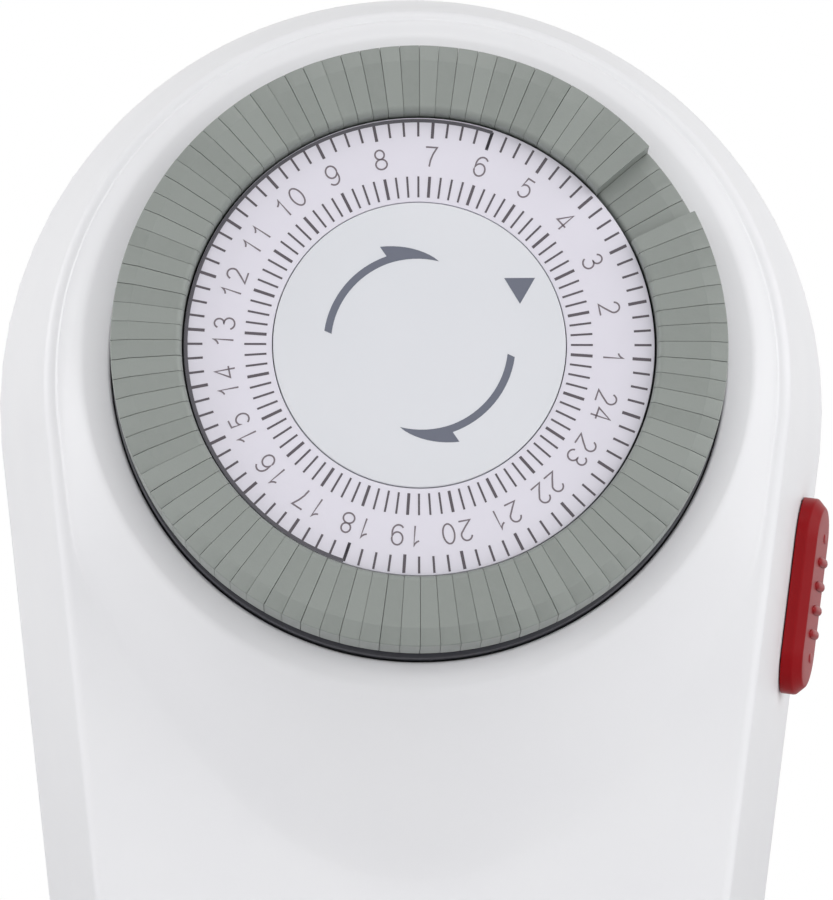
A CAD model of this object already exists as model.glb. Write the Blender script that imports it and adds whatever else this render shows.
# %% [markdown]
# # Dressing a plug-in timer switch
# A plug-in timer switch is a white housing with a mains plug on its back and a socket in
# its front. Above the socket sits a dial with 96 small tappets, one for each quarter of an
# hour. The exact model gives every piece its size and its joint. This lesson gives each
# piece the finish that the moulder, the printer and the plater would give it.
# We start by loading that model as a fixed frame and keeping its box, because nothing that
# we add may grow the object.

# %% Load the frame
from math import acos, asin, atan2, cos, hypot, pi, radians, sin, sqrt, tan

import bmesh
import bpy
from mathutils import Matrix, Vector


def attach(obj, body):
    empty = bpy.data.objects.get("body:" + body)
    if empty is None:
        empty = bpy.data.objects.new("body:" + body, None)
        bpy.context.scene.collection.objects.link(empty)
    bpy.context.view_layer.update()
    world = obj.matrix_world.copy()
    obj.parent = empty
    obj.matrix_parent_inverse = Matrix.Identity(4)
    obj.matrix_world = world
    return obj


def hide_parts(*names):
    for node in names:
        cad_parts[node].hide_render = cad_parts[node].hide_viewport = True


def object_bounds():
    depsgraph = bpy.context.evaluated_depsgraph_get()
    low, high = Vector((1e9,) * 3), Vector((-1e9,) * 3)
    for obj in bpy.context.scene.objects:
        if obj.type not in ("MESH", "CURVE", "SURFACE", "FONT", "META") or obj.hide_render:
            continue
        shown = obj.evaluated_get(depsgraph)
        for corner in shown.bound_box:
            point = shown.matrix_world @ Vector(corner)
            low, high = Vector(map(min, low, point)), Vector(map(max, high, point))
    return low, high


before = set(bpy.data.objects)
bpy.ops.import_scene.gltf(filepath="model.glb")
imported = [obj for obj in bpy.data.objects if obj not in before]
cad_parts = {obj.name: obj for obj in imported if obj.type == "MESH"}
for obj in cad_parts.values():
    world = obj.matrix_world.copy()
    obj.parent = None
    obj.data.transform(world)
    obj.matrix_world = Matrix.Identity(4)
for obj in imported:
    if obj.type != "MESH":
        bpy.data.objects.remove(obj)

cad_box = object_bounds()
MM = 0.001
TO_METRES, TO_MM = Matrix.Scale(MM, 4), Matrix.Scale(1 / MM, 4)

# %% [markdown]
# ## Camera
# The camera stands 42 cm in front of the dial, a little to the left and a little low, with
# a long lens. A long lens keeps the side walls nearly parallel. We write the direction as
# an azimuth and an elevation, and turn the frame by the small roll that a hand-held camera
# has.

# %% Place the camera
CAMERA_TARGET = Vector((0.26, -40.0, 62.41)) * MM
CAMERA_AZIMUTH, CAMERA_ELEVATION, CAMERA_ROLL = radians(-1.07), radians(-3.82), radians(0.52)
CAMERA_DISTANCE, CAMERA_LENS = 0.42, 204.8


def seen_from(azimuth, elevation):
    return Vector((sin(azimuth) * cos(elevation), -cos(azimuth) * cos(elevation),
                   sin(elevation)))


def aimed_camera(target, azimuth, elevation, roll, distance, lens):
    back = seen_from(azimuth, elevation)
    right = (-back).cross(Vector((0, 0, 1))).normalized()
    up = right.cross(-back)
    right, up = cos(roll) * right + sin(roll) * up, cos(roll) * up - sin(roll) * right
    data = bpy.data.cameras.new("front_camera")
    data.sensor_fit, data.sensor_width, data.lens = "HORIZONTAL", 36.0, lens
    camera = bpy.data.objects.new("front_camera", data)
    camera.matrix_world = Matrix.Translation(target + distance * back) @ Matrix(
        (right, up, back)).transposed().to_4x4()
    bpy.context.collection.objects.link(camera)
    bpy.context.scene.camera = camera
    return camera


camera = aimed_camera(CAMERA_TARGET, CAMERA_AZIMUTH, CAMERA_ELEVATION, CAMERA_ROLL,
                      CAMERA_DISTANCE, CAMERA_LENS)
print("camera at", tuple(round(v, 4) for v in camera.matrix_world.translation))

# %% [markdown]
# ## Colours and nodes
# Paint charts and screens give colours as sRGB hex codes, but a shader works in linear
# light. One function turns the first into the second. A second small function adds a
# node, sets it and links it, so that each finish below reads like a recipe. Some nodes
# hold several sockets of one name and show only one, so a third picks the open one. Noise,
# sums, mixed shades and the closing surface recur, so they have short functions too.

# %% Helpers for materials
def linear(hex_code):
    parts = [int(hex_code[i:i + 2], 16) / 255 for i in (1, 3, 5)]
    return tuple(p / 12.92 if p <= 0.04045 else ((p + 0.055) / 1.055) ** 2.4
                 for p in parts) + (1.0,)


def open_socket(sockets, name):
    if isinstance(name, int):
        return sockets[name]
    return next(s for s in sockets if s.name == name and s.enabled)


def add_node(tree, kind, inputs=None, **settings):
    node = tree.nodes.new(kind)
    for name, value in settings.items():
        setattr(node, name, value)
    for name, value in (inputs or {}).items():
        socket = open_socket(node.inputs, name)
        if isinstance(value, bpy.types.NodeSocket):
            tree.links.new(value, socket)
        else:
            socket.default_value = value
    return node


def new_material(name):
    material = bpy.data.materials.new(name)
    material.use_nodes = True
    tree = material.node_tree
    tree.nodes.clear()
    return material, tree, add_node(tree, "ShaderNodeTexCoord").outputs["Object"]


def noise(tree, place, cell_mm, detail=2.0, roughness=0.5):
    return add_node(tree, "ShaderNodeTexNoise", {
        "Vector": place, "Scale": 1000 / cell_mm, "Detail": detail,
        "Roughness": roughness}).outputs["Fac"]


def maths(tree, operation, *values):
    return add_node(tree, "ShaderNodeMath", dict(enumerate(values)),
                    operation=operation).outputs[0]


def mixed_shade(tree, factor, one, two):
    mix = add_node(tree, "ShaderNodeMix", {"Factor": factor, "A": one, "B": two},
                   data_type="RGBA")
    return open_socket(mix.outputs, "Result")


def spread(tree, value, low, high):
    return add_node(tree, "ShaderNodeMapRange", {
        "Value": value, "To Min": low, "To Max": high}).outputs["Result"]


def close_surface(tree, height, depth_mm, looks):
    bump = add_node(tree, "ShaderNodeBump", {
        "Height": height, "Strength": 1.0, "Distance": depth_mm * MM})
    shader = add_node(tree, "ShaderNodeBsdfPrincipled", {
        **looks, "Normal": bump.outputs["Normal"]})
    add_node(tree, "ShaderNodeOutputMaterial", {"Surface": shader.outputs["BSDF"]})


print("white ABS in linear light:", [round(v, 3) for v in linear("#E6E6E9")])

# %% [markdown]
# ## Moulded plastic
# Every plastic piece here is injection moulded. The steel mould is spark eroded or lightly
# blasted, so the surface has a fine grain of 0.1 to 0.3 mm, and the gloss drifts a little
# where the melt met the mould hotter or cooler. We mix two shades with a slow noise for the
# melt, and a fast noise for the grain drives the bump. The scale is worked out from the
# grain's size in millimetres: noise of scale 1 has cells about 1 m wide on object
# coordinates, so a grain of g mm needs a scale of 1000 / g.

# %% Recipe for moulded plastic
def moulded_plastic(name, shade, darker, roughness, grain_mm, grain_depth_mm, drift_mm=12.0,
                    ior=1.5):
    material, tree, place = new_material(name)
    drift = noise(tree, place, drift_mm, 3.0)
    close_surface(tree, noise(tree, place, grain_mm, 2.0, 0.6), grain_depth_mm, {
        "Base Color": mixed_shade(tree, drift, linear(shade), linear(darker)),
        "Roughness": spread(tree, drift, roughness - 0.04, roughness + 0.04), "IOR": ior})
    return material


shell_abs = moulded_plastic("white_abs_satin", "#EAEAEC", "#E6E6E9", 0.42, 0.25, 0.004)
inner_abs = moulded_plastic("natural_abs_plain", "#DAD7CC", "#D2CFC3", 0.5, 0.4, 0.006)
drum_plastic = moulded_plastic("black_nylon_satin", "#46464C", "#3E3E44", 0.4, 0.25, 0.006)
block_plastic = moulded_plastic("dark_phenolic", "#3C3C42", "#333338", 0.5, 0.4, 0.01)
cap_plastic = moulded_plastic("red_abs_satin", "#920C13", "#840A11", 0.34, 0.22, 0.006,
                              ior=1.2)
print("plastics:", [m.name for m in (shell_abs, inner_abs, drum_plastic, cap_plastic)])

# %% [markdown]
# ## The tappets' plastic
# The tappets are moulded in a grey-green acetal. Ninety-six small pieces come from many
# shots, so no two neighbours have quite the same tone, and the faces have a cloudy mottle a
# few tenths of a millimetre across. Each tappet carries its own `tone` value, written by
# the geometry nodes further down, and the material shifts its shade by it.

# %% Grey-green acetal
def tappet_acetal():
    material, tree, place = new_material("grey_green_acetal")
    tone = add_node(tree, "ShaderNodeAttribute", attribute_name="tone").outputs["Fac"]
    shade = mixed_shade(tree, noise(tree, place, 0.9, 4.0, 0.65), linear("#868B87"),
                        linear("#7D827E"))
    close_surface(tree, noise(tree, place, 0.18), 0.006, {
        "Base Color": mixed_shade(tree, tone, shade, linear("#8A8F8B")), "Roughness": 0.4,
        "IOR": 1.48})
    return material


acetal = tappet_acetal()
print("made", acetal.name)

# %% [markdown]
# ## Printed faces
# The dial's label and the fixed centre disc are thin printed plates. The plate is smoother
# than the housing, and the ink lies on it as a film a few hundredths of a millimetre
# thick, so the ink is made as real flat shapes and needs only its own matt shade.

# %% Label, centre disc and ink
label_plate = moulded_plastic("lilac_white_polystyrene", "#DCD9E3", "#D8D5DF", 0.36, 0.3,
                              0.001, drift_mm=9.0)
disc_plate = moulded_plastic("blue_white_polystyrene", "#DADBE0", "#D6D8DD", 0.34, 0.3,
                             0.001, drift_mm=9.0)
label_ink, tick_ink, edge_ink, disc_ink = (
    moulded_plastic(name, shade, darker, roughness, 0.12, 0.002, drift_mm=1.5)
    for name, shade, darker, roughness in (
        ("grey_printing_ink", "#6B6269", "#756C73", 0.6),
        ("dark_grey_printing_ink", "#4C454C", "#565057", 0.6),
        ("dark_printing_ink", "#4A484F", "#55535A", 0.55),
        ("slate_printing_ink", "#5D616F", "#646876", 0.55)))
print("printed finishes ready")

# %% [markdown]
# ## Metals
# Screws, springs and the motor's can are zinc plated steel, the plug's pins are nickel
# plated brass, and the contacts are bare stamped brass. A metal keeps the default index of
# refraction and takes its colour from the base colour. Rolling and stamping leave fine
# lines along one direction, which a stretched noise gives, and handling leaves the gloss
# uneven over a few millimetres.

# %% Recipe for metal
SMEAR_MM = 3.0


def worked_metal(name, shade, roughness, lines_mm, stretch, depth_mm):
    material, tree, place = new_material(name)
    drawn = add_node(tree, "ShaderNodeMapping", {"Vector": place, "Scale": stretch})
    gloss = spread(tree, noise(tree, place, SMEAR_MM), roughness - 0.06, roughness + 0.08)
    close_surface(tree, noise(tree, drawn.outputs["Vector"], lines_mm), depth_mm, {
        "Base Color": linear(shade), "Metallic": 1.0, "Roughness": gloss})
    return material


zinc_steel = worked_metal("zinc_plated_steel", "#C9CACB", 0.3, 0.3, (1, 0.1, 1), 0.002)
nickel = worked_metal("nickel_plated_brass", "#D2CDC2", 0.2, 0.3, (1, 0.1, 1), 0.001)
brass = worked_metal("stamped_brass", "#D0A95C", 0.32, 0.25, (1, 1, 0.1), 0.002)
bronze = worked_metal("phosphor_bronze", "#C08A55", 0.34, 0.25, (1, 1, 0.1), 0.002)
magnet = worked_metal("sintered_ferrite", "#55555A", 0.6, 0.2, (1, 1, 1), 0.01)
print("metals:", zinc_steel.name, nickel.name, brass.name, bronze.name, magnet.name)

# %% [markdown]
# ## Copper winding
# The motor's coil is enamelled wire of 0.2 mm, wound in even layers. A wave texture of
# bands, one wire wide, gives the turns. The coil lies along the dial's tilted axis, so a
# Mapping node turns the pattern by that tilt.

# %% Enamelled copper wire
TILT, WIRE_MM = radians(8.6), 0.2


def wound_copper():
    material, tree, place = new_material("enamelled_copper_wire")
    turned = add_node(tree, "ShaderNodeMapping", {
        "Vector": place, "Rotation": (TILT - pi / 2, 0, 0)})
    # one band of a wave texture spans 2 pi / (20 * scale) metres
    turns = add_node(tree, "ShaderNodeTexWave", {
        "Vector": turned.outputs["Vector"], "Scale": 2 * pi / (20 * WIRE_MM * MM),
        "Distortion": 0.0}, wave_type="BANDS", bands_direction="Z")
    close_surface(tree, turns.outputs["Fac"], 0.08, {
        "Base Color": linear("#B4643C"), "Metallic": 1.0, "Roughness": 0.35,
        "Coat Weight": 0.6, "Coat Roughness": 0.15})
    return material


copper_wire = wound_copper()
print("made", copper_wire.name)

# %% [markdown]
# ## Studio
# The object stands in a plain white studio. A pale floor lies just under its lowest point.
# The backdrop is white where the camera sees it directly or in a reflection, and dimmer
# as a source of light, so that the housing keeps some shade. Large soft lamps stand to the
# left, to the right, in front and above. Just over half of the light comes from the sides,
# which lifts the sloping faces of the white housing. Near the object the floor is real
# paper, which takes its shadow; further out it fades to the white of the backdrop for the
# camera alone, so that no horizon shows.

# %% Floor, backdrop and lamps
AMBIENT, FLOOR_REACH = 0.25, 1.5
FLOOR_Z = cad_box[0][2] - 0.0002
# azimuth and elevation in degrees, distance and size in metres, power in watts
LAMPS = {
    "lamp_right": (58, 20, 1.1, 0.8, 2.7),
    "lamp_left_side": (-85, 15, 1.1, 0.8, 4.6),
    "lamp_right_side": (85, 15, 1.1, 0.8, 2.4),
    "lamp_above": (0, 60, 1.2, 0.9, 3.2),
    "lamp_front": (0, 8, 1.4, 1.0, 2.2),
    "lamp_front_left": (-32, 5, 1.2, 0.8, 2.1),
    "lamp_front_right": (32, 5, 1.2, 0.8, 1.4),
}


def studio_paper(near, far):
    material, tree, place = new_material("studio_paper")
    away = add_node(tree, "ShaderNodeVectorMath", {0: place}, operation="LENGTH")
    fade = add_node(tree, "ShaderNodeMapRange", {
        "Value": away.outputs["Value"], "From Min": near, "From Max": far},
        interpolation_type="SMOOTHSTEP")
    seen = add_node(tree, "ShaderNodeLightPath").outputs["Is Camera Ray"]
    paper = add_node(tree, "ShaderNodeBsdfPrincipled", {
        "Base Color": linear("#F4F4F5"), "Roughness": 0.8})
    white = add_node(tree, "ShaderNodeEmission", {"Color": (1, 1, 1, 1), "Strength": 1.0})
    mixed = add_node(tree, "ShaderNodeMixShader", {
        0: maths(tree, "MULTIPLY", fade.outputs["Result"], seen),
        1: paper.outputs["BSDF"], 2: white.outputs["Emission"]})
    add_node(tree, "ShaderNodeOutputMaterial", {"Surface": mixed.outputs["Shader"]})
    return material


floor_mesh = bpy.data.meshes.new("studio_floor")
floor_mesh.from_pydata([(x * FLOOR_REACH, y * FLOOR_REACH, FLOOR_Z) for x, y in (
    (-1, -1), (1, -1), (1, 1), (-1, 1))], [], [(0, 1, 2, 3)])
floor_mesh.materials.append(studio_paper(0.12, 0.6))
floor = bpy.data.objects.new("studio_floor", floor_mesh)
bpy.context.collection.objects.link(floor)


def white_backdrop():
    world = bpy.data.worlds.new("white_studio")
    world.use_nodes = True
    tree = world.node_tree
    tree.nodes.clear()
    rays = add_node(tree, "ShaderNodeLightPath").outputs
    seen = maths(tree, "MAXIMUM", rays["Is Camera Ray"], rays["Is Glossy Ray"])
    clear = maths(tree, "MAXIMUM", seen, rays["Is Transmission Ray"])
    paper = add_node(tree, "ShaderNodeBackground", {
        "Color": (1, 1, 1, 1), "Strength": spread(tree, clear, AMBIENT, 1.0)})
    add_node(tree, "ShaderNodeOutputWorld", {"Surface": paper.outputs["Background"]})
    bpy.context.scene.world = world


def soft_lamp(name, azimuth, elevation, distance, size, power):
    data = bpy.data.lights.new(name, "AREA")
    data.shape, data.size, data.energy = "DISK", size, power
    lamp = bpy.data.objects.new(name, data)
    back = seen_from(radians(azimuth), radians(elevation))
    lamp.location = Vector((0, -0.03, 0.05)) + distance * back
    lamp.rotation_mode = "QUATERNION"
    lamp.rotation_quaternion = back.to_track_quat("Z", "Y")
    bpy.context.collection.objects.link(lamp)


white_backdrop()
for name, values in LAMPS.items():
    soft_lamp(name, *values)
bpy.context.scene.view_settings.view_transform = "Standard"
print("studio: floor at", round(FLOOR_Z, 4), "and", len(LAMPS), "lamps")

# %% [markdown]
# ## Finish for the pieces kept from the exact model
# Most inner pieces already have their real shape, so they keep their mesh and only get a
# finish. The list below says which metal or plastic each one is made of. The two shells,
# the drum, the tappets, the label, the centre disc and the slider are made anew further
# down, because their rounded edges and print are too fine for the exact model.

# %% Give each kept node its finish
KEPT = {
    inner_abs: ["chassis", "wheel_a", "wheel_b", "coil_bobbin", "follower", "shutter"],
    block_plastic: ["switch_block", "motor_leads"],
    zinc_steel: ["housing_screws", "chassis_screws", "dial_post", "wheel_axles", "motor_can",
                 "follower_spring", "arm_pivot", "shutter_spring"],
    nickel: ["pin_live", "pin_neutral"],
    brass: ["contact_live", "contact_neutral", "live_feed", "earth_strap"],
    bronze: ["contact_arm", "friction_washer"],
    magnet: ["rotor"],
    copper_wire: ["motor_coil"],
}


def dress(node_object, material):
    for slot in node_object.material_slots:
        slot.material = material
    if not node_object.material_slots:
        node_object.data.materials.append(material)


for material, names in KEPT.items():
    for name in names:
        dress(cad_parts[name], material)
print("dressed", sum(len(n) for n in KEPT.values()), "nodes")

# %% [markdown]
# ## From rings of points to a piece
# The housing and the round pieces are easiest to think of as a stack of rings: a ring is
# one closed loop of points, and two rings of equal length are joined by a band of quads.
# Sizes are written in millimetres. One function turns the finished bmesh into metres,
# marks the sharp edges and gives it its finish. Another bakes modifiers into plain mesh.

# %% Helpers for meshes
def add_ring(bm, points):
    return [bm.verts.new(p) for p in points]


def add_bands(bm, rings, closed=False):
    pairs = list(zip(rings, rings[1:])) + ([(rings[-1], rings[0])] if closed else [])
    for one, two in pairs:
        count = len(one)
        for k in range(count):
            m = (k + 1) % count
            bm.faces.new((one[k], one[m], two[m], two[k]))


def closed_body(bm, rings):
    add_bands(bm, rings)
    bm.faces.new(rings[0])
    bm.faces.new(rings[-1])


def arc_points(centre, one, two, sweep, steps):
    return [centre + (one * sin((1 - k / steps) * sweep) + two * sin(k / steps * sweep))
            / sin(sweep) for k in range(steps + 1)]


def exact_copy(node, merge):
    bm = bmesh.new()
    bm.from_mesh(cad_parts[node].data)
    bmesh.ops.remove_doubles(bm, verts=bm.verts, dist=merge)
    return bm


def ring_edges(bm, ring):
    pairs = zip(ring, ring[1:] + ring[:1])
    return [bm.edges.get(p) or bm.edges.new(p) for p in pairs]


def box_into(bm, low, high):
    corners = [(x, y, z) for x in (low[0], high[0]) for y in (low[1], high[1])
               for z in (low[2], high[2])]
    v = [bm.verts.new(c) for c in corners]
    for f in ((0, 1, 3, 2), (4, 6, 7, 5), (0, 4, 5, 1), (2, 3, 7, 6), (0, 2, 6, 4),
              (1, 5, 7, 3)):
        bm.faces.new([v[k] for k in f])


def smooth_by_angle(mesh, degrees_limit):
    bm = bmesh.new()
    bm.from_mesh(mesh)
    for face in bm.faces:
        face.smooth = True
    for edge in bm.edges:
        edge.smooth = edge.is_manifold and edge.calc_face_angle(0) < radians(degrees_limit)
    bm.to_mesh(mesh)
    bm.free()


def piece_from(bm, name, material, place=TO_METRES, sharp=32, fix_normals=True):
    if fix_normals:
        bmesh.ops.recalc_face_normals(bm, faces=bm.faces)
    mesh = bpy.data.meshes.new(name)
    bm.to_mesh(mesh)
    bm.free()
    mesh.transform(place)
    mesh.materials.append(material)
    smooth_by_angle(mesh, sharp)
    piece = bpy.data.objects.new(name, mesh)
    bpy.context.collection.objects.link(piece)
    return piece


def bake_modifiers(piece):
    graph = bpy.context.evaluated_depsgraph_get()
    graph.update()
    mesh = bpy.data.meshes.new_from_object(piece.evaluated_get(graph))
    mesh.name = piece.name
    piece.modifiers.clear()
    piece.data = mesh
    return piece


def settle_normals(piece):
    weigh = piece.modifiers.new("weigh", "WEIGHTED_NORMAL")
    weigh.mode, weigh.keep_sharp, weigh.weight = "FACE_AREA", True, 50
    return bake_modifiers(piece)


print("mesh helpers ready")

# %% [markdown]
# ## The outline of the housing
# Seen from the front the housing is a large circle and a smaller one below it, joined by
# two straight tapering walls. We walk round that outline once and note for each stop the
# direction of the wall's normal and how far down the wall we are. A ring at any depth is
# then the same walk with a smaller radius, because the walls draw in towards the front so
# that the moulding leaves its tool.

# %% Walk round the outline
HEAD_R, END_R, HEAD_UP = 37.4, 29.4, 67.0
PART_Y, FRONT_Y, SLOPE, WALL = -29.0, -57.0, 0.2, 2.0
BOSS_H, RIM_R, OPENING_R = 1.1, 28.7, 26.12
DIAL_Y, DIAL_UP = FRONT_Y - BOSS_H, HEAD_UP + 2.0
TAPER = asin((HEAD_R - END_R) / HEAD_UP)


def outline_stops(head=150, side=48, end=90):
    stops = [(-TAPER + (pi + 2 * TAPER) * k / head, 0.0) for k in range(head)]
    stops += [(pi + TAPER, k / side) for k in range(side)]
    stops += [(pi + TAPER + (pi - 2 * TAPER) * k / end, 1.0) for k in range(end)]
    stops += [(2 * pi - TAPER, 1 - k / side) for k in range(side)]
    return stops


def outline_point(stop, inset):
    direction, down = stop
    r = HEAD_R + (END_R - HEAD_R) * down - inset
    return r * cos(direction), HEAD_UP * (1 - down) + r * sin(direction)


stops = outline_stops()
# the slider's own frame: x out of the right wall, z up along it, origin on the parting plane
SIDE_PLACE = (Matrix.Translation((HEAD_R * cos(TAPER), PART_Y,
                                  HEAD_UP - HEAD_R * sin(TAPER)))
              @ Matrix.Rotation(TAPER, 4, "Y") @ Matrix.Translation((0, 0, -12.7)))
print("stops round the outline:", len(stops))

# %% [markdown]
# ## The front face and its ridge
# The lower part of the front is upright. Above the dial's centre the head leans back at
# the dial's own tilt. A soft maximum joins the two, because a moulded face has no hard
# fold. The front meets the side wall in a ridge that is rounded by 1 mm, and we work that
# arc out in the plane that holds the wall's normal.

# %% Front face and rounded ridge
RIDGE_R, LEAN_EASE = 1.0, 1.5


def soft(v, width):
    return 0.5 * (v + sqrt(v * v + width * width))


def soft_slope(v, width):
    return 0.5 * (1 + v / sqrt(v * v + width * width))


def front_y(z):
    return FRONT_Y + tan(TILT) * soft(z - DIAL_UP, LEAN_EASE)


def corner_at(stop, inwards=0.0, deeper=0.0):
    inset = SLOPE * (PART_Y - FRONT_Y)
    for _ in range(6):
        z = outline_point(stop, inset)[1]
        y = front_y(z) + deeper
        inset = SLOPE * (PART_Y - y) + inwards
    return inset, y


def ridge_arc(stop, steps=6):
    inset, y = corner_at(stop)
    z = outline_point(stop, inset)[1]
    corner = Vector((-inset, -y))
    back = Vector((SLOPE, -1)).normalized()
    rise = tan(TILT) * soft_slope(z - DIAL_UP, LEAN_EASE) * sin(stop[0])
    inward = Vector((-1, rise)).normalized()
    half = acos(back.dot(inward)) / 2
    centre = corner + (back + inward).normalized() * RIDGE_R / sin(half)
    one = corner + back * RIDGE_R / tan(half) - centre
    two = corner + inward * RIDGE_R / tan(half) - centre
    arc = []
    for p in arc_points(centre, one, two, acos(one.dot(two) / RIDGE_R ** 2), steps):
        x, z = outline_point(stop, -p[0])
        arc.append(Vector((x, -p[1], z)))
    return arc


arcs = [ridge_arc(stop) for stop in stops]
print("ridge at the top:", tuple(round(v, 2) for v in arcs[75][3]))

# %% [markdown]
# ## The boss round the dial
# The dial sits in a boss with a flat tilted rim. A flank runs from that rim down to the
# front face. Beside the dial it is 2 mm wide, and below the dial it spreads into a long
# tongue whose foot is a parabola. We shoot a ray from the dial's centre to every stop of
# the ridge, find the rim, the foot and the ridge on it, and lay the flank as a straight
# line whose foot is eased into the face, as a cutter's ball nose leaves it.

# %% Rows of the flank, from the ridge in to the rim
FOOT_DROP, FOOT_SPREAD, FOOT_EASE = RIM_R * cos(TILT) + 15.2, 32.0, 0.45
INNER_FOOT = 2.4  # how far inside the flank's foot its inner face starts


def on_dial(r, turn, height=0.0):
    up = r * sin(turn)
    return Vector((r * cos(turn), DIAL_Y + up * sin(TILT) - height * cos(TILT),
                   DIAL_UP + up * cos(TILT) + height * sin(TILT)))


def foot_reach(angle, limit):
    c, s = cos(angle), sin(angle)
    if abs(c) < 0.01:
        free = FOOT_DROP if s < 0 else limit + 50
    else:
        free = (FOOT_SPREAD * s + sqrt((FOOT_SPREAD * s) ** 2
                + 4 * c * c * FOOT_SPREAD * FOOT_DROP)) / (2 * c * c)
    return 0.5 * (free + limit - sqrt((free - limit) ** 2 + 1.0))


def flank_rows(edge):
    angle = atan2(edge.z - DIAL_UP, edge.x)
    turn = atan2(sin(angle) / cos(TILT), cos(angle))
    ridge_reach = hypot(edge.x, edge.z - DIAL_UP)
    foot = foot_reach(angle, ridge_reach - 0.3)
    out = min(foot + 3.0, ridge_reach - 0.08)
    rim = on_dial(RIM_R, turn)
    rim_reach = hypot(rim.x, rim.z - DIAL_UP)
    foot_y = front_y(DIAL_UP + foot * sin(angle))

    def surface(reach):
        z = DIAL_UP + reach * sin(angle)
        u = (reach - rim_reach) / (foot - rim_reach)
        v = front_y(z) - (rim.y + (foot_y - rim.y) * u)
        h = soft(v, FOOT_EASE * min(1.0, max(0.0, 3 * u)))
        if reach > foot:
            h *= (1 - (reach - foot) / (out - foot)) ** 2
        return Vector((reach * cos(angle), front_y(z) - h, z))

    rows = [surface(foot + (out - foot) * t) for t in (1, 0.75, 0.5, 0.3, 0.15)]
    span = foot - rim_reach
    rows += [surface(rim_reach + span * u)
             for u in (1, 0.95, 0.88, 0.8, 0.7, 0.58, 0.45, 0.32)]
    start = surface(rim_reach + min(0.45, 0.25 * span))
    inside = on_dial(RIM_R - 0.4, turn)
    for t in (0, 0.25, 0.5, 0.75, 1):
        rows.append(start.lerp(rim, t).lerp(rim.lerp(inside, t), t))
    rows.append(on_dial((RIM_R + OPENING_R) / 2, turn))
    edge_in = on_dial(OPENING_R + 0.3, turn)
    wall_top = on_dial(OPENING_R, turn, -0.3)
    corner = on_dial(OPENING_R, turn)
    for t in (0, 0.33, 0.67, 1):
        rows.append(edge_in.lerp(corner, t).lerp(corner.lerp(wall_top, t), t))
    rows.append(on_dial(OPENING_R, turn, -WALL))
    rows.append(on_dial(RIM_R - 2.3, turn, -WALL))
    inner = surface(foot - INNER_FOOT)
    rows.append(Vector((inner.x, inner.y + WALL, inner.z)))
    return rows


flank = [flank_rows(arc[-1]) for arc in arcs]
print("rows on the boss:", len(flank[0]))

# %% [markdown]
# ## The front shell as one closed body
# Now the rings become one closed shell with a real wall: out over the ridge, back along the
# side wall, round the parting plane, and inside again. The flat face between the flank's
# foot, the ridge and the socket's mouth is filled with triangles round the hole. The
# socket's recess is a turned cup with a rounded mouth and a closed floor.

# %% Build the shell
RECESS_R, RECESS_D, CUP_T, FLOOR_T = 19.6, 17.5, 1.8, 2.0
FLOOR_Y = FRONT_Y + RECESS_D
CUP_STEPS = 128


def level_circle(r, y, steps=CUP_STEPS):
    return [(r * cos(2 * pi * k / steps), y, r * sin(2 * pi * k / steps))
            for k in range(steps)]


def side_ring(inwards, y, extra=0.0):
    return [Vector((p[0], y, p[1])) for p in (
        outline_point(s, SLOPE * (PART_Y - y) + inwards + extra) for s in stops)]


shell_bm = bmesh.new()
outer = [add_ring(shell_bm, [arc[k] for arc in arcs]) for k in range(6, -1, -1)]
outer += [add_ring(shell_bm, side_ring(0, y)) for y in (-50.5, -45, -39, -34, PART_Y - 0.3)]
outer.append(add_ring(shell_bm, side_ring(0.25, PART_Y)))
outer.append(add_ring(shell_bm, side_ring(WALL, PART_Y)))
inner_corner = []
for stop in stops:
    inset, y = corner_at(stop, inwards=WALL, deeper=WALL)
    x, z = outline_point(stop, inset)
    inner_corner.append((x, y, z))
outer.append(add_ring(shell_bm, inner_corner))
add_bands(shell_bm, outer)
boss = [add_ring(shell_bm, row) for row in zip(*flank)]
add_bands(shell_bm, boss)

mouth = [add_ring(shell_bm, level_circle(RECESS_R + 0.8 * (1 - sin(a)),
                                         FRONT_Y + 0.8 * (1 - cos(a))))
         for a in (0, pi / 8, pi / 4, 3 * pi / 8, pi / 2)]
mouth += [add_ring(shell_bm, level_circle(RECESS_R, y)) for y in (-50, FLOOR_Y - 0.5)]
mouth += [add_ring(shell_bm, level_circle(RECESS_R - 0.15, FLOOR_Y - 0.15)),
          add_ring(shell_bm, level_circle(RECESS_R - 0.5, FLOOR_Y))]
add_bands(shell_bm, mouth)
shell_bm.faces.new(mouth[-1])
cup = [add_ring(shell_bm, level_circle(RECESS_R + CUP_T, y))
       for y in (FRONT_Y + WALL, FLOOR_Y + FLOOR_T)]
add_bands(shell_bm, cup)
shell_bm.faces.new(cup[-1])

for loops in ((outer[0], boss[0], mouth[0]), (outer[-1], boss[-1], cup[0])):
    edges = [e for ring in loops for e in ring_edges(shell_bm, ring)]
    bmesh.ops.triangle_fill(shell_bm, use_beauty=True, edges=edges, normal=(0, -1, 0))
open_edges = sum(1 for e in shell_bm.edges if not e.is_manifold)
print("shell faces", len(shell_bm.faces), "open edges", open_edges)
front_skin = piece_from(shell_bm, "front_skin", shell_abs, sharp=40)

# %% [markdown]
# ## Openings and guide ribs
# The socket's floor has two round holes for the pins and two slots for the earth clips, and
# the right wall has a slot in which the slider's stem runs. A core pin in the mould makes
# each of them, so we subtract a body of that pin's shape with a Boolean modifier. The two
# ribs that guide the plug are joined to the recess by a Boolean union. A Boolean is right
# here because the openings cross rounded walls, where rows of quads would be clumsy.

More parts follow.
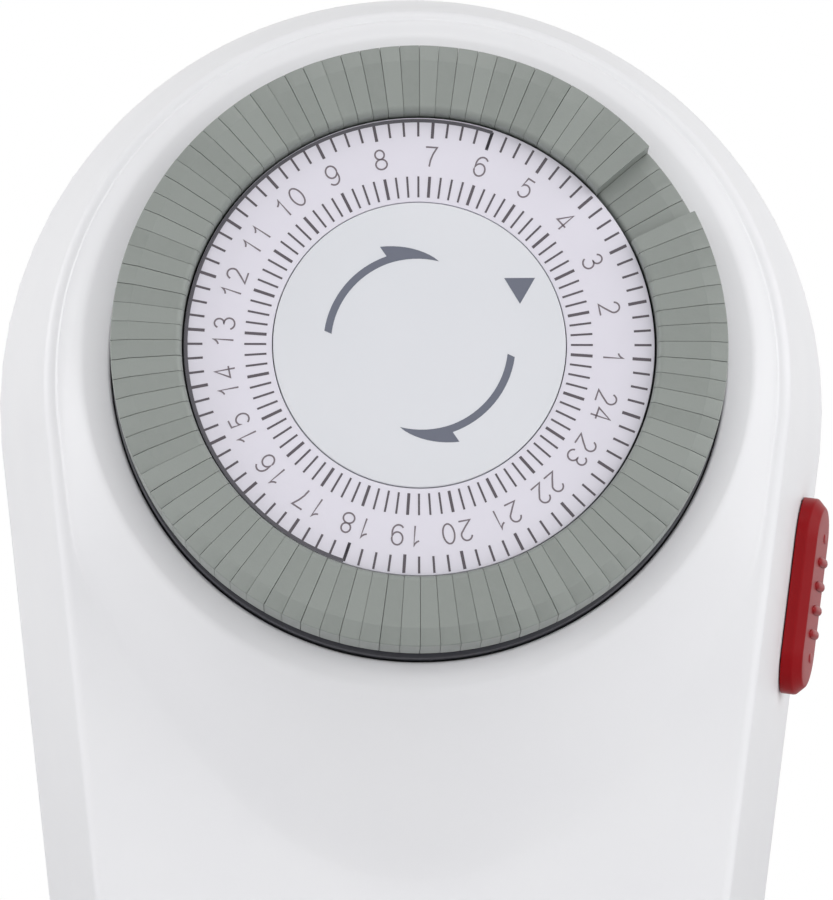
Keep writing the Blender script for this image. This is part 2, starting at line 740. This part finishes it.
# %% Cut the openings
PIN_HOLE_R, PIN_GAP = 2.7, 19.0
CLIP_AT, CLIP_WIDE, CLIP_THICK = 17.9, 4.6, 1.4
RIB_FROM, RIB_HALF, RIB_TOP = 17.2, 2.0, FRONT_Y + 1.0
SLOT_MID, SLOT_WIDE, SLOT_LOW, SLOT_HIGH = -9.25, 2.8, -4.2, 8.2


def core_pin(x):
    # from below the floor up to a small funnel that catches the pin's tip
    section = [(PIN_HOLE_R, FLOOR_Y + FLOOR_T + 1), (PIN_HOLE_R, FLOOR_Y + 0.5),
               (PIN_HOLE_R + 0.5, FLOOR_Y), (PIN_HOLE_R + 0.5, FLOOR_Y - 0.6)]
    bm = bmesh.new()
    rings = [add_ring(bm, [(x + p[0], p[1], p[2]) for p in level_circle(r, y, 48)])
             for r, y in section]
    closed_body(bm, rings)
    return bm


def core_block(low, high, soften=0.0, place=None):
    bm = bmesh.new()
    box_into(bm, low, high)
    if soften:
        bmesh.ops.bevel(bm, geom=bm.edges[:], offset=soften, segments=3, profile=0.5,
                        affect="EDGES")
    if place:
        bm.transform(place)
    return bm


def work_with(piece, bm, operation):
    tool = piece_from(bm, "mould_core", shell_abs)
    cut = piece.modifiers.new("core", "BOOLEAN")
    cut.object, cut.operation, cut.solver = tool, operation, "EXACT"
    bake_modifiers(piece)
    bpy.data.objects.remove(tool)


for side in (-1, 1):
    guide = sorted((side * RIB_FROM, side * (RECESS_R + 0.9)))
    work_with(front_skin, core_block((guide[0], RIB_TOP, -RIB_HALF),
                                     (guide[1], FLOOR_Y + 1.0, RIB_HALF), 0.35), "UNION")
for side in (-1, 1):
    work_with(front_skin, core_pin(side * PIN_GAP / 2), "DIFFERENCE")
    clip = sorted((side * CLIP_AT - CLIP_THICK / 2, side * CLIP_AT + CLIP_THICK / 2))
    work_with(front_skin, core_block((-CLIP_WIDE / 2, FLOOR_Y - 1, clip[0]),
                                     (CLIP_WIDE / 2, FLOOR_Y + FLOOR_T + 1, clip[1])),
              "DIFFERENCE")
work_with(front_skin, core_block((-6, SLOT_MID - SLOT_WIDE / 2, SLOT_LOW),
                                 (3, SLOT_MID + SLOT_WIDE / 2, SLOT_HIGH), 0,
                                 SIDE_PLACE), "DIFFERENCE")
smooth_by_angle(front_skin.data, 40)
settle_normals(front_skin)
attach(front_skin, "housing")
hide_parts("front_shell")
print("shell after the openings:", len(front_skin.data.polygons), "faces")

# %% [markdown]
# ## The rear shell
# The rear shell holds the plug's body, the screws' recesses and the earth clips' seats. Its
# exact shape is right, but a moulding has no knife edges. We merge a copy of the exact
# mesh, let flat triangles grow together, and break every sharp edge by a quarter of a
# millimetre with a Bevel modifier. The two shells then meet in a fine V groove, as real
# ones do.

# %% Soften the rear shell
EDGE_BREAK = 0.25


def softened(node, name, material, width):
    bm = exact_copy(node, 2e-6)
    bmesh.ops.dissolve_limit(bm, angle_limit=radians(0.4), verts=bm.verts, edges=bm.edges)
    bm.transform(TO_MM)
    piece = piece_from(bm, name, material, fix_normals=False)
    edges = piece.modifiers.new("edges", "BEVEL")
    edges.width, edges.segments, edges.limit_method = width * MM, 2, "ANGLE"
    edges.angle_limit = radians(35)
    bake_modifiers(piece)
    smooth_by_angle(piece.data, 34)
    return settle_normals(piece)


rear_skin = softened("rear_shell", "rear_skin", shell_abs, EDGE_BREAK)
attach(rear_skin, "housing")
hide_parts("rear_shell")
print("rear shell faces", len(rear_skin.data.polygons))

# %% [markdown]
# ## A ring of like items
# Ticks and tappets repeat round the dial at an exact pitch, as a dividing head would index
# them. Geometry nodes do that: a row of points, one item on each, turned by its number
# times the pitch. Each item also gets its own small drop, a little play about its place and
# its own tone, because moulded pieces are never quite alike. The result is baked to one
# plain mesh.

# %% Geometry nodes for a ring
def random_value(tree, low, high, seed):
    node = add_node(tree, "FunctionNodeRandomValue", {"Min": low, "Max": high, "Seed": seed})
    return open_socket(node.outputs, "Value")


def ring_tree():
    tree = bpy.data.node_groups.new("ring_of_items", "GeometryNodeTree")
    sockets = {"Item": "Geometry", "Count": "Int", "Start": "Float", "Pitch": "Float",
               "Drop": "Float", "Play": "Float", "Seed": "Int", "Finish": "Material"}
    for name, kind in sockets.items():
        tree.interface.new_socket(name, in_out="INPUT", socket_type="NodeSocket" + kind)
    tree.interface.new_socket("Ring", in_out="OUTPUT", socket_type="NodeSocketGeometry")
    given = add_node(tree, "NodeGroupInput").outputs
    number = add_node(tree, "GeometryNodeInputIndex").outputs["Index"]
    angle = maths(tree, "MULTIPLY_ADD", number, given["Pitch"], given["Start"])
    shake = random_value(tree, -1.0, 1.0, given["Seed"])
    turn = add_node(tree, "FunctionNodeAxisAngleToRotation", {
        "Axis": (0, 0, 1),
        "Angle": maths(tree, "MULTIPLY_ADD", shake, given["Play"], angle)})
    points = add_node(tree, "GeometryNodePoints", {"Count": given["Count"]})
    items = add_node(tree, "GeometryNodeInstanceOnPoints", {
        "Points": points.outputs[0], "Instance": given["Item"],
        "Rotation": turn.outputs["Rotation"]})
    fall = random_value(tree, 0.0, 1.0, given["Seed"])
    down = maths(tree, "MULTIPLY", fall, given["Drop"])
    step = add_node(tree, "ShaderNodeCombineXYZ", {"Z": maths(tree, "MULTIPLY", down, -1.0)})
    moved = add_node(tree, "GeometryNodeTranslateInstances", {
        "Instances": items.outputs[0], "Translation": step.outputs[0]})
    tone = random_value(tree, 0.0, 1.0, maths(tree, "ADD", given["Seed"], 50.0))
    named = add_node(tree, "GeometryNodeStoreNamedAttribute", {
        "Geometry": moved.outputs[0], "Name": "tone", "Value": tone},
        domain="INSTANCE", data_type="FLOAT")
    whole = add_node(tree, "GeometryNodeRealizeInstances", {"Geometry": named.outputs[0]})
    done = add_node(tree, "GeometryNodeSetMaterial", {
        "Geometry": whole.outputs[0], "Material": given["Finish"]})
    add_node(tree, "NodeGroupOutput", {"Ring": done.outputs[0]})
    return tree


RING = ring_tree()
RING_KEYS = {s.name: s.identifier for s in RING.interface.items_tree if s.in_out == "INPUT"}


def ring_piece(name, item_bm, place, **values):
    mesh = bpy.data.meshes.new(name + "_item")
    item_bm.to_mesh(mesh)
    item_bm.free()
    piece = bpy.data.objects.new(name, mesh)
    bpy.context.collection.objects.link(piece)
    nodes = piece.modifiers.new("ring", "NODES")
    nodes.node_group = RING
    for key, value in values.items():
        nodes[RING_KEYS[key]] = value
    bake_modifiers(piece)
    piece.data.transform(place)
    return piece


DIAL_PLACE = (TO_METRES @ Matrix.Translation((0, DIAL_Y, DIAL_UP))
              @ Matrix.Rotation(pi / 2 - TILT, 4, "X"))
print("ring inputs:", list(RING_KEYS))

# %% [markdown]
# ## Tappets
# A tappet is one quarter of an hour. Its head is a small wedge between two circles, with a
# broad chamfer at the outside for the finger and a round edge at the inside. A stem below
# slides in the drum. The section is drawn once, its corners are rounded as the mould's
# cutter leaves them, and it is swept through one pitch less the gap to its neighbour.

# %% Build the tappets
PHASE, PITCH, PER_HOUR, TOP_HOUR = radians(3.3), radians(3.75), 4, 7
STROKE, TAPPET_GAP, TAPPET_PLAY = 2.1, 0.026, 0.013
TAPPET_IN, TAPPET_MID, TAPPET_OUT, TAPPET_TOP = 19.93, 23.15, 25.88, 6.45


def rounded(points, radii, steps=3):
    out = []
    for k, (point, r) in enumerate(zip(points, radii)):
        p = Vector(point)
        if r == 0:
            out.append(p)
            continue
        one = (Vector(points[k - 1]) - p).normalized()
        two = (Vector(points[(k + 1) % len(points)]) - p).normalized()
        half = one.angle(two) / 2
        centre = p + (one + two).normalized() * r / sin(half)
        a = p + one * r / tan(half) - centre
        b = p + two * r / tan(half) - centre
        out += arc_points(centre, a, b, a.angle(b), steps)
    return out


TAPPET_SECTION = rounded(
    [(TAPPET_IN, 4.2), (25.45, 4.2), (25.45, 2.6), (TAPPET_OUT, 2.6), (TAPPET_OUT, 6.05),
     (24.4, TAPPET_TOP), (TAPPET_IN, TAPPET_TOP)], [0.1, 0, 0, 0.1, 0.15, 0.5, 0.6], 4)


def tappet_item():
    bm = bmesh.new()
    half = PITCH / 2 - asin(TAPPET_GAP / 2 / TAPPET_MID)
    rings = []
    for k in range(4):
        a = -half + 2 * half * k / 3
        rings.append(add_ring(bm, [(p[0] * cos(a), p[0] * sin(a), p[1])
                                   for p in TAPPET_SECTION]))
    closed_body(bm, rings)
    rims = [e for ring in (rings[0], rings[-1]) for e in ring_edges(bm, ring)]
    bmesh.ops.recalc_face_normals(bm, faces=bm.faces)
    bmesh.ops.bevel(bm, geom=rims, offset=0.04, segments=2, profile=0.6, affect="EDGES")
    box_into(bm, (20.8, -0.425, -2.0), (24.0, 0.425, 5.5))
    bmesh.ops.recalc_face_normals(bm, faces=bm.faces)
    return bm


def tappets(name, first, count, lowered):
    place = DIAL_PLACE @ Matrix.Translation((0, 0, -STROKE if lowered else 0))
    piece = ring_piece(name, tappet_item(), place, Count=count, Pitch=-PITCH,
                       Start=pi / 2 - PHASE - (first + 0.5) * PITCH, Drop=0.05,
                       Play=TAPPET_PLAY / TAPPET_OUT, Seed=first, Finish=acetal)
    smooth_by_angle(piece.data, 28)
    return settle_normals(piece)


for hour in range(1, 25):
    first = (TOP_HOUR - hour) * PER_HOUR
    if hour == 4:
        for k in range(PER_HOUR):
            piece = tappets(f"tappet_head_{k + 1}", first + k, 1, True)
            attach(piece, f"tappet_{k + 1}")
            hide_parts(f"tappet_{k + 1}")
    else:
        piece = tappets(f"tappet_heads_{hour}", first, PER_HOUR, False)
        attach(piece, f"tappets_hour_{hour}")
        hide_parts(f"tappets_hour_{hour}")
print("tappet faces", len(piece.data.polygons), "section", len(TAPPET_SECTION))

# %% [markdown]
# ## The drum
# The drum carries the tappets and turns behind the rim. Its exact shape comes from the
# frame: we merge a copy of that mesh, turn its two thin upper rims down so that the
# tappets' thick heads pass over them, and add the dark collar that closes the gap to the
# rim. The collar stays below the tappets' lips also when they are pressed down.

# %% Build the drum
COLLAR = [(25.3, -1.2), (25.95, -1.2), (25.98, -1.1), (25.98, 0.35), (25.88, 0.45),
          (25.3, 0.45)]
RIM_CUTS = [[(19.78, 2.0), (20.3, 2.0), (20.3, 6.0), (19.78, 6.0)],
            [(24.6, 2.0), (25.6, 2.0), (25.6, 4.5), (24.6, 4.5)]]


def turned(bm, section, steps=192):
    rings = [add_ring(bm, [(p[0] * cos(2 * pi * k / steps), p[0] * sin(2 * pi * k / steps),
                            p[1]) for k in range(steps)]) for p in section]
    add_bands(bm, rings, closed=True)


def turned_tool(section):
    bm = bmesh.new()
    turned(bm, section)
    bm.transform(TO_MM @ DIAL_PLACE)
    return bm


drum_bm = exact_copy("dial_carrier", 1e-6)
drum_bm.transform(TO_MM)
drum = piece_from(drum_bm, "drum", drum_plastic, fix_normals=False)
for section in RIM_CUTS:
    work_with(drum, turned_tool(section), "DIFFERENCE")
work_with(drum, turned_tool(COLLAR), "UNION")
smooth_by_angle(drum.data, 30)
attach(drum, "dial")
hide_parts("dial_carrier")
print("drum faces", len(drum.data.polygons))

# %% [markdown]
# ## The dial's label and the centre disc
# Both are flat plates turned or stamped to a circle, so they are made by turning a section
# round the dial's axis. The label turns with the dial. The centre disc stays with the
# housing, and a fine gap between the two lets them pass each other.

# %% Turned plates
PLATE_TOP, LABEL_LOW, LABEL_HOLE_R, LABEL_R = 5.1, 4.7, 12.37, 19.75
DISC_TOP, DISC_LOW, DISC_R, CORE_R = 5.2, 4.2, 12.29, 3.0
label_bm = bmesh.new()
turned(label_bm, rounded([(LABEL_HOLE_R, LABEL_LOW), (LABEL_R, LABEL_LOW),
                          (LABEL_R, PLATE_TOP), (LABEL_HOLE_R, PLATE_TOP)],
                         [0, 0, 0.06, 0.06]))
label = piece_from(label_bm, "label_plate", label_plate, DIAL_PLACE)
disc_bm = bmesh.new()
turned(disc_bm, rounded([(CORE_R, DISC_LOW), (DISC_R, DISC_LOW), (DISC_R, DISC_TOP),
                         (CORE_R, DISC_TOP)], [0, 0, 0.1, 0]))
# close the middle: a flat cap on both sides, and no wall between them
for height in (DISC_LOW, DISC_TOP):
    loop = [v for v in disc_bm.verts if abs(v.co.z - height) < 1e-5
            and hypot(v.co.x, v.co.y) < CORE_R + 0.01]
    loop.sort(key=lambda v: atan2(v.co.y, v.co.x))
    disc_bm.faces.new(loop)
bmesh.ops.delete(disc_bm, geom=[f for f in disc_bm.faces if len(f.verts) == 4 and all(
    abs(hypot(v.co.x, v.co.y) - CORE_R) < 0.001 for v in f.verts)], context="FACES_ONLY")
turned(disc_bm, [(1.5, -3.5), (1.5, 4.7), (1.2, 4.7), (1.2, -3.5)], steps=48)
disc = piece_from(disc_bm, "centre_plate", disc_plate, DIAL_PLACE)
print("label faces", len(label.data.polygons), "disc faces", len(disc.data.polygons))

# %% [markdown]
# ## Printed ticks
# The print is a film of ink two hundredths of a millimetre thick. One hour holds eight
# ticks: an outer row that points at the tappets and an inner row that is read against the
# centre disc. The print sits a little off the centre of the plate, as pad printing does.
# The first tick of each hour is bolder. The ring of items repeats one hour 24 times.

# %% Print the ticks
INK, INK_ROOT = 0.02, 0.03
# inner end, outer end and width of a tick
OUTER_TICK, OUTER_BOLD = (18.12, 19.55, 0.19), (17.98, 19.55, 0.26)
INNER_TICK, INNER_BOLD = (12.78, 14.62, 0.17), (12.78, 14.62, 0.25)


def film(bm, outline, top=PLATE_TOP + INK, bottom=PLATE_TOP - INK_ROOT):
    upper = [bm.verts.new((p[0], p[1], top)) for p in outline]
    lower = [bm.verts.new((p[0], p[1], bottom)) for p in outline]
    bm.faces.new(upper)
    bm.faces.new(lower[::-1])
    count = len(outline)
    for k in range(count):
        m = (k + 1) % count
        bm.faces.new((upper[m], upper[k], lower[k], lower[m]))


def tick(bm, turn, r_in, r_out, width):
    c, s = cos(turn), sin(turn)
    film(bm, [(r * c - side * s, r * s + side * c) for r, side in (
        (r_in, -width / 2), (r_out, -width / 2), (r_out, width / 2), (r_in, width / 2))])


hour_bm = bmesh.new()
for quarter in range(PER_HOUR):
    for row in (OUTER_TICK, INNER_TICK) if quarter else (OUTER_BOLD, INNER_BOLD):
        tick(hour_bm, -quarter * PITCH, *row)
bmesh.ops.recalc_face_normals(hour_bm, faces=hour_bm.faces)
PRINT_PLACE = DIAL_PLACE @ Matrix.Translation((-0.07, -0.03, 0))
ticks = ring_piece("label_ticks", hour_bm, PRINT_PLACE, Count=24, Pitch=-PITCH * PER_HOUR,
                   Start=pi / 2 - PHASE, Drop=0.0, Play=0.0, Seed=7, Finish=tick_ink)
print("tick faces", len(ticks.data.polygons))

# %% [markdown]
# ## Printed numbers
# The numbers 1 to 24 are drawn with a pen of one width, as engravers' lettering is. Each
# digit is a few lines and arcs in a box one unit high. The strokes are widened into thin
# films, placed on a circle, and turned so that their feet point to the dial's centre. They
# run anticlockwise, so that the time passes the mark as the dial turns clockwise.

# %% A pen font
def bow(cx, cy, rx, ry, start, end, steps=14):
    return [(cx + rx * cos(radians(start + (end - start) * k / steps)),
             cy + ry * sin(radians(start + (end - start) * k / steps)))
            for k in range(steps + 1)]


DIGITS = {
    "0": [bow(0.28, 0.5, 0.28, 0.5, 90, 450, 28)],
    "1": [[(0.06, 0.74), (0.16, 0.79), (0.25, 0.88), (0.3, 1.0), (0.3, 0.0)]],
    "2": [bow(0.28, 0.72, 0.26, 0.28, 170, -28, 16) + [(0.24, 0.26), (0.0, 0.0),
                                                       (0.56, 0.0)]],
    "3": [bow(0.26, 0.76, 0.23, 0.24, 160, -80, 14) + [(0.26, 0.53)]
          + bow(0.26, 0.27, 0.28, 0.27, 85, -165, 18)],
    "4": [[(0.42, 0.0), (0.42, 1.0), (0.0, 0.3), (0.58, 0.3)]],
    "5": [[(0.5, 1.0), (0.12, 1.0), (0.06, 0.5)]
          + bow(0.27, 0.33, 0.28, 0.33, 130, -150, 18)],
    "6": [bow(0.32, 0.62, 0.3, 0.38, 40, 180, 12) + bow(0.28, 0.32, 0.27, 0.32, 170, -180,
                                                        24)],
    "7": [[(0.0, 1.0), (0.56, 1.0), (0.38, 0.66), (0.27, 0.34), (0.22, 0.0)]],
    "8": [bow(0.28, 0.76, 0.23, 0.24, -90, 270, 20), bow(0.28, 0.26, 0.28, 0.26, 90, 450,
                                                         22)],
    "9": [bow(0.28, 0.68, 0.27, 0.32, -10, 350, 24) + bow(0.24, 0.38, 0.3, 0.38, 0, -140,
                                                          12)],
}


def pen_stroke(bm, points, width, place):
    line = [Vector(p) for p in points]
    sides = []
    for k, p in enumerate(line):
        before = (p - line[k - 1]).normalized() if k else None
        after = (line[k + 1] - p).normalized() if k + 1 < len(line) else None
        along = (before + after).normalized() if before and after else before or after
        across = Vector((-along.y, along.x))
        stretch = 1 / max(0.5, along.dot(after or before))
        shift = across * width / 2 * stretch
        sides.append([bm.verts.new(place @ Vector((q.x, q.y, z)))
                      for q in (p + shift, p - shift)
                      for z in (PLATE_TOP + INK, PLATE_TOP - INK_ROOT)])
    for one, two in zip(sides, sides[1:]):
        for a, b in ((0, 2), (2, 3), (3, 1), (1, 0)):
            bm.faces.new((one[a], one[b], two[b], two[a]))
    for end in (sides[0], sides[-1]):
        bm.faces.new((end[0], end[2], end[3], end[1]))


NUMBER_H, NUMBER_R, PEN, LETTER_STEP, DIGIT_W = 1.7, 16.36, 0.14, 0.86, 0.56
numbers_bm = bmesh.new()
for hour in range(1, 25):
    turn = pi / 2 - PHASE - (TOP_HOUR - hour) * PER_HOUR * PITCH
    text = str(hour)
    wide = (len(text) - 1) * LETTER_STEP + DIGIT_W
    place = (Matrix.Rotation(turn - pi / 2, 4, "Z")
             @ Matrix.Translation((-wide * NUMBER_H / 2, NUMBER_R - NUMBER_H / 2, 0)))
    for k, digit in enumerate(text):
        for stroke in DIGITS[digit]:
            moved = [((x + k * LETTER_STEP) * NUMBER_H, y * NUMBER_H) for x, y in stroke]
            pen_stroke(numbers_bm, moved, PEN, place)
numbers = piece_from(numbers_bm, "label_numbers", label_ink, PRINT_PLACE)
print("number faces", len(numbers.data.polygons))

# %% [markdown]
# ## The night arc
# Half of the label's edge carries a dark band from 18 to 6 o'clock, the hours of the
# night, closed by a short radial line at both ends.

# %% Print the arc
def sector(bm, r_in, r_out, start, end, steps, top):
    arc = [start + (end - start) * k / steps for k in range(steps + 1)]
    for a, b in zip(arc, arc[1:]):
        film(bm, [(r_in * cos(a), r_in * sin(a)), (r_out * cos(a), r_out * sin(a)),
                  (r_out * cos(b), r_out * sin(b)), (r_in * cos(b), r_in * sin(b))],
             top=top)


arc_bm = bmesh.new()
six = pi / 2 - PHASE - PER_HOUR * PITCH
sector(arc_bm, 19.37, 19.67, six, six + pi, 72, PLATE_TOP + INK + 0.004)
for turn in (six, six + pi):
    tick(arc_bm, turn, 17.9, 19.5, 0.26)
night = piece_from(arc_bm, "label_night_arc", edge_ink, PRINT_PLACE)
for piece in (label, ticks, numbers, night):
    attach(piece, "dial")
    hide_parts("dial_label")
print("arc faces", len(night.data.polygons))

# %% [markdown]
# ## Signs on the centre disc
# Two curved arrows show which way the dial may be turned by hand, and a triangle marks the
# hour that counts. An arrow's band is bounded by two arcs, and its head tapers from a
# swept barb to a point.

# %% Print the arrows and the mark
def arrow_outline(turn):
    band_in, band_out, barb, tip_r = 7.43, 8.06, 9.03, 7.34
    tail, neck, tip = radians(-84), radians(-22), radians(12.6)
    inner = [(band_in, tail + (neck - tail) * k / 16) for k in range(17)]
    head_in = [(band_in + (tip_r - band_in) * k / 8, neck + (tip - neck) * k / 8)
               for k in range(1, 9)]
    head_out = [(tip_r + (barb - tip_r) * (k / 10) ** 0.85, tip + (neck - tip) * k / 10)
                for k in range(1, 11)]
    outer = [(band_out, neck + radians(1.5) + (tail - neck) * k / 16) for k in range(17)]
    polar = inner + head_in + head_out + outer
    return [(r * sin(a + turn), r * cos(a + turn)) for r, a in polar]


signs_bm = bmesh.new()
for turn in (0, pi):
    film(signs_bm, arrow_outline(turn), DISC_TOP + INK, DISC_TOP - INK_ROOT)
MARK_TURN, MARK_R, MARK_SIDE = radians(59), 9.8, 2.6
corners = [[MARK_R * f(MARK_TURN) + MARK_SIDE / sqrt(3) * f(MARK_TURN + k * 2 * pi / 3)
            for f in (sin, cos)] for k in range(3)]
film(signs_bm, corners, DISC_TOP + INK, DISC_TOP - INK_ROOT)
signs = piece_from(signs_bm, "centre_signs", disc_ink, DIAL_PLACE)
for piece in (disc, signs):
    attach(piece, "housing")
    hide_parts("centre_disc")
print("sign faces", len(signs.data.polygons))

# %% [markdown]
# ## The override slider
# The red cap on the side wall switches the socket on by hand. It is a small stadium
# shaped moulding: a wall stands up from the housing, a chamfer runs round it, and the top
# leans outwards to the rear so that a thumb can push it. Six ribs give the grip, and the
# two at the ends fade out. The stem, plate and finger inside keep their exact shape and
# are cut from the frame's mesh in the thickness of the wall.

# %% Build the cap
CAP_MID, CAP_R, CAP_HALF, CAP_LOW = -8.75, 3.75, 5.05, -0.15
CAP_EDGE, CAP_FACE, CAP_BEVEL = -0.4, 1.4, 0.8
CAP_FRONT_Y, CAP_RUN, STEM_CUT = -11.7, 6.7, -2.95


def cap_top(y):
    return CAP_EDGE + (y - CAP_FRONT_Y) * (CAP_FACE - CAP_EDGE) / CAP_RUN


def cap_ring(bm, inset, drop=None, steps=20):
    points = []
    for side in (1, -1):
        for k in range(steps + 1):
            a = pi * k / steps
            y = CAP_MID + side * (CAP_R - inset) * cos(a)
            z = CAP_LOW + side * (CAP_HALF + (CAP_R - inset) * sin(a))
            x = SLOPE * y + 0.12 if drop is None else cap_top(y) - drop
            points.append((x, y, z))
    return add_ring(bm, points)


def grip_rib(bm, z, high):
    mid_y, half = CAP_MID + 1.1, 2.2 if high > 0.1 else 0.8
    lean = atan2(CAP_FACE - CAP_EDGE, CAP_RUN)
    rings = []
    for j in range(13):
        s = -0.995 + 1.99 * j / 12
        f = (1 - abs(s) ** 3.5) ** 0.5
        y = mid_y + half * s * cos(lean)
        ring = []
        for k in range(12):
            a = 2 * pi * k / 12
            up = high * f * sin(a) if sin(a) > 0 else 0.3 * sin(a)
            ring.append((cap_top(y) + up, y - up * sin(lean), z + 0.46 * f * cos(a)))
        rings.append(add_ring(bm, ring))
    closed_body(bm, rings)


cap_bm = bmesh.new()
edge = rounded([(0, 3), (0, CAP_BEVEL), (CAP_BEVEL, 0), (3, 0)], [0, 0.35, 0.35, 0], 4)
cap_rings = [cap_ring(cap_bm, 0.0)] + [cap_ring(cap_bm, p[0], p[1]) for p in edge[1:-1]]
cap_rings += [cap_ring(cap_bm, 2.0, 0.0), cap_ring(cap_bm, 3.2, 0.0)]
closed_body(cap_bm, cap_rings)
for k in range(6):
    grip_rib(cap_bm, CAP_LOW + (k - 2.5) * 2.15, 0.08 if k in (0, 5) else 0.3)
box_into(cap_bm, (-3.0, -10.45, -4.0), (-0.8, -8.05, 4.0))
bmesh.ops.recalc_face_normals(cap_bm, faces=cap_bm.faces)

inner_bm = exact_copy("override_slider", 1e-6)
inner_bm.transform(SIDE_PLACE.inverted() @ TO_MM)
bmesh.ops.bisect_plane(inner_bm, geom=inner_bm.verts[:] + inner_bm.edges[:]
                       + inner_bm.faces[:], plane_co=(STEM_CUT, 0, 0), plane_no=(1, 0, 0),
                       clear_outer=True)
bmesh.ops.holes_fill(inner_bm, edges=[e for e in inner_bm.edges if e.is_boundary])
inner_mesh = bpy.data.meshes.new("slider_inner")
inner_bm.to_mesh(inner_mesh)
inner_bm.free()
cap_bm.from_mesh(inner_mesh)
slider = piece_from(cap_bm, "slider_cap", cap_plastic, TO_METRES @ SIDE_PLACE,
                    sharp=50, fix_normals=False)
settle_normals(slider)
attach(slider, "override_slider")
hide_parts("override_slider")
print("slider faces", len(slider.data.polygons))

# %% [markdown]
# ## Compare the boxes
# The dressed model has to stay inside the exact model's box. We write both boxes down, and
# then close the frame.

# %% Write the boxes
print("boxes written")
